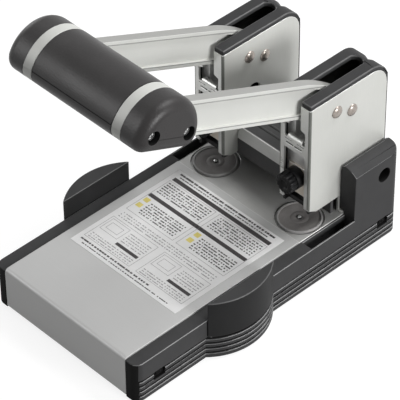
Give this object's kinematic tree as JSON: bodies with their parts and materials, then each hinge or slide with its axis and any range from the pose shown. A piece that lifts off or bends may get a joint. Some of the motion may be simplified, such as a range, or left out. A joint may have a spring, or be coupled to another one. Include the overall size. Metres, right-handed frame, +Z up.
{
  "type": "hole punch",
  "caption": "Heavy desk hole punch with a bow lever and half-round grip, punch towers over turning cutting discs, a sheet-steel paper table and pull-out side guides.",
  "frame": {"origin": "floor level under the middle of the base", "axes": "+X to the right across the table, +Y from the user to the towers, +Z up"},
  "size_m": [0.16, 0.24, 0.2193],
  "materials": {
    "pan_steel": "black painted sheet",
    "foot_rubber": "matt",
    "table_steel": "fine brushed zinc plating",
    "label_paper": "plain printed rules, no words",
    "die_steel": "plain rolled steel",
    "black_plastic": "fine moulded grain",
    "grip_plastic": "satin moulded",
    "knob_plastic": "satin moulded",
    "disc_plastic": "satin moulded",
    "band_silver": "satin",
    "tower_silver": "satin silver coat",
    "arm_silver": "satin silver coat",
    "holder_steel": "brushed",
    "plate_zinc": "yellowed zinc plating",
    "pin_steel": "turned"
  },
  "bodies": {
    "base": {"base_pan": "pan_steel", "feet": "foot_rubber", "table_plate": "table_steel", "table_label": "label_paper", "die_plate": "die_steel", "side_cover_left": "black_plastic", "side_cover_right": "black_plastic", "cover_screws": "pin_steel", "rear_cover": "black_plastic", "rear_band": "band_silver", "tower_frame_left": "tower_silver", "tower_frame_right": "tower_silver", "tower_trim_left": "black_plastic", "tower_trim_right": "black_plastic", "stripper_left": "die_steel", "stripper_right": "die_steel", "lever_pivots": "pin_steel", "stop_pins": "pin_steel", "disc_pins": "pin_steel", "return_spring_left": "pin_steel", "return_spring_right": "pin_steel"},
    "lever": {"arm_left": "arm_silver", "arm_right": "arm_silver", "grip_upper": "grip_plastic", "grip_lower": "grip_plastic", "grip_cap_left": "grip_plastic", "grip_cap_right": "grip_plastic", "grip_screws": "pin_steel"},
    "punch_left": {"punch_holder_left": "holder_steel", "drive_pin_left": "pin_steel", "punch_bit_left": "pin_steel", "clamp_plate_left": "plate_zinc"},
    "knob_left": {"knob_left": "knob_plastic"},
    "disc_left": {"cutting_disc_left": "disc_plastic"},
    "guide_left": {"guide_block_left": "black_plastic", "guide_bar_left": "pin_steel"},
    "punch_right": {"punch_holder_right": "holder_steel", "drive_pin_right": "pin_steel", "punch_bit_right": "pin_steel", "clamp_plate_right": "plate_zinc"},
    "knob_right": {"knob_right": "knob_plastic"},
    "disc_right": {"cutting_disc_right": "disc_plastic"},
    "guide_right": {"guide_block_right": "black_plastic", "guide_bar_right": "pin_steel"}
  },
  "joints": [
    {"name": "lever_press", "type": "hinge", "parent": "base", "child": "lever", "pos_m": [0, 0.0865, 0.1158], "axis": [1, 0, 0], "range_deg": [0, 23.5], "stiffness_Nm_per_rad": 3, "springref_deg": -28.65},
    {"name": "punch_left_stroke", "type": "slide", "parent": "base", "child": "punch_left", "axis": [0, 0, -1], "range_m": [0, 0.0114], "deforming": ["return_spring_left"]},
    {"name": "knob_left_turn", "type": "hinge", "parent": "punch_left", "child": "knob_left", "pos_m": [-0.04, 0.0452, 0.0725], "axis": [0, 1, 0], "continuous": true},
    {"name": "disc_left_turn", "type": "hinge", "parent": "base", "child": "disc_left", "pos_m": [-0.04, 0.0538, 0.035], "axis": [0, 0, 1], "continuous": true},
    {"name": "guide_left_pull", "type": "slide", "parent": "base", "child": "guide_left", "axis": [-1, 0, 0], "range_m": [0, 0.08]},
    {"name": "punch_right_stroke", "type": "slide", "parent": "base", "child": "punch_right", "axis": [0, 0, -1], "range_m": [0, 0.0114], "deforming": ["return_spring_right"]},
    {"name": "knob_right_turn", "type": "hinge", "parent": "punch_right", "child": "knob_right", "pos_m": [0.04, 0.0452, 0.0725], "axis": [0, 1, 0], "continuous": true},
    {"name": "disc_right_turn", "type": "hinge", "parent": "base", "child": "disc_right", "pos_m": [0.04, 0.0538, 0.035], "axis": [0, 0, 1], "continuous": true},
    {"name": "guide_right_pull", "type": "slide", "parent": "base", "child": "guide_right", "axis": [1, 0, 0], "range_m": [0, 0.08]}
  ],
  "couplings": [
    {"joint": "punch_left_stroke", "follows": "lever_press", "m_per_rad": 0.027791},
    {"joint": "punch_right_stroke", "follows": "lever_press", "m_per_rad": 0.027791}
  ]
}
